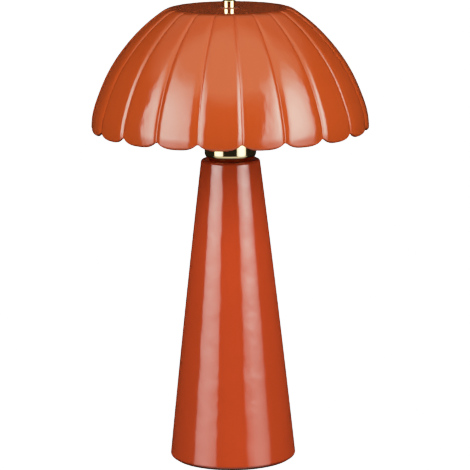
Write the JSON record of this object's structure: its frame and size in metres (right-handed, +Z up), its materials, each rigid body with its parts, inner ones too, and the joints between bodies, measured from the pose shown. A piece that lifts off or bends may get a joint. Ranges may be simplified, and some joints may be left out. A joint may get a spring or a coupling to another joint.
{
  "type": "table lamp",
  "caption": "Table lamp with a tapered conical base, brass collar and a dome shade fluted into petals with a scalloped rim, held by a harp and a finial.",
  "frame": {"origin": "centre of the underside of the felt pad, on the lamp axis", "axes": "+Z up along the lamp axis, -Y towards the front where the switch knob is, +X to the right seen from the front"},
  "size_m": [0.2682, 0.2682, 0.45],
  "materials": {
    "shade_enamel": "gloss terracotta enamel",
    "base_enamel": "gloss terracotta enamel, slightly redder",
    "polished_brass": "polished and lacquered",
    "harp_brass": "drawn wire, satin",
    "socket_brass": "pressed shell, satin",
    "contact_brass": "bright stamped",
    "zinc_steel": "zinc plated",
    "cast_iron": "rough cast, black primer",
    "felt": "dark brown felt",
    "black_plastic": "moulded, fine grain",
    "phenolic": "moulded phenolic",
    "fibre": "vulcanised fibre sheet",
    "opal_plastic": "opal diffuser",
    "white_plastic": "moulded, satin",
    "nickel": "nickel-plated screw cap",
    "black_glass": "vitrified glass",
    "led_board": "white solder mask"
  },
  "bodies": {
    "base": {"base_cone": "base_enamel", "base_weight": "cast_iron", "bottom_plate": "zinc_steel", "felt_pad": "felt", "cord_grommet": "black_plastic", "grommet_nut": "black_plastic", "lamp_pipe": "zinc_steel", "pipe_washer": "zinc_steel", "pipe_nut": "zinc_steel", "cone_washer": "zinc_steel", "cone_nut": "zinc_steel", "brass_collar": "polished_brass", "collar_washer": "zinc_steel", "collar_nut": "zinc_steel", "collar_lid": "polished_brass", "harp_saddle": "harp_brass", "socket_cap": "socket_brass", "cap_set_screw": "zinc_steel", "socket_shell": "socket_brass", "socket_insulator": "fibre", "socket_body": "phenolic", "terminal_screws": "contact_brass", "screw_shell": "contact_brass", "centre_contact": "contact_brass", "switch_bushing": "socket_brass"},
    "harp": {"harp_bow": "harp_brass", "harp_stud": "harp_brass"},
    "sleeve_left": {"harp_sleeve_left": "harp_brass"},
    "sleeve_right": {"harp_sleeve_right": "harp_brass"},
    "shade": {"shade_shell": "shade_enamel", "shade_hub_plate": "zinc_steel"},
    "finial_washer": {"finial_washer": "fibre"},
    "finial": {"finial": "polished_brass"},
    "bulb_seat": {"bulb_insulator": "black_glass"},
    "bulb": {"bulb_globe": "opal_plastic", "bulb_housing": "white_plastic", "bulb_cap": "nickel", "bulb_tip": "contact_brass", "led_board": "led_board"},
    "switch": {"switch_spindle": "socket_brass", "switch_knob": "black_plastic"}
  },
  "joints": [
    {"name": "harp_lift", "type": "slide", "parent": "base", "child": "harp", "axis": [0, 0, 1], "range_m": [0, 0.13]},
    {"name": "sleeve_left_slide", "type": "slide", "parent": "harp", "child": "sleeve_left", "axis": [0, 0, 1], "range_m": [0, 0.012]},
    {"name": "sleeve_right_slide", "type": "slide", "parent": "harp", "child": "sleeve_right", "axis": [0, 0, 1], "range_m": [0, 0.012]},
    {"name": "shade_swivel", "type": "hinge", "parent": "harp", "child": "shade", "pos_m": [0, 0, 0.441], "axis": [0, 0, 1], "continuous": true},
    {"name": "finial_rise", "type": "slide", "parent": "harp", "child": "finial_washer", "axis": [0, 0, 1], "range_m": [0, 0.0047]},
    {"name": "finial_turn", "type": "hinge", "parent": "finial_washer", "child": "finial", "pos_m": [0, 0, 0.446], "axis": [0, 0, 1], "range_deg": [0, 1800]},
    {"name": "bulb_rise", "type": "slide", "parent": "base", "child": "bulb_seat", "axis": [0, 0, 1], "range_m": [0, 0.01453]},
    {"name": "bulb_turn", "type": "hinge", "parent": "bulb_seat", "child": "bulb", "pos_m": [0, 0, 0.36], "axis": [0, 0, 1], "range_deg": [0, 1440]},
    {"name": "switch_turn", "type": "hinge", "parent": "base", "child": "switch", "pos_m": [0, -0.03, 0.3386], "axis": [0, -1, 0], "continuous": true}
  ],
  "couplings": [
    {"joint": "finial_turn", "follows": "finial_rise", "rad_per_m": 6684.2},
    {"joint": "bulb_rise", "follows": "bulb_turn", "m_per_rad": 0.00057773}
  ]
}
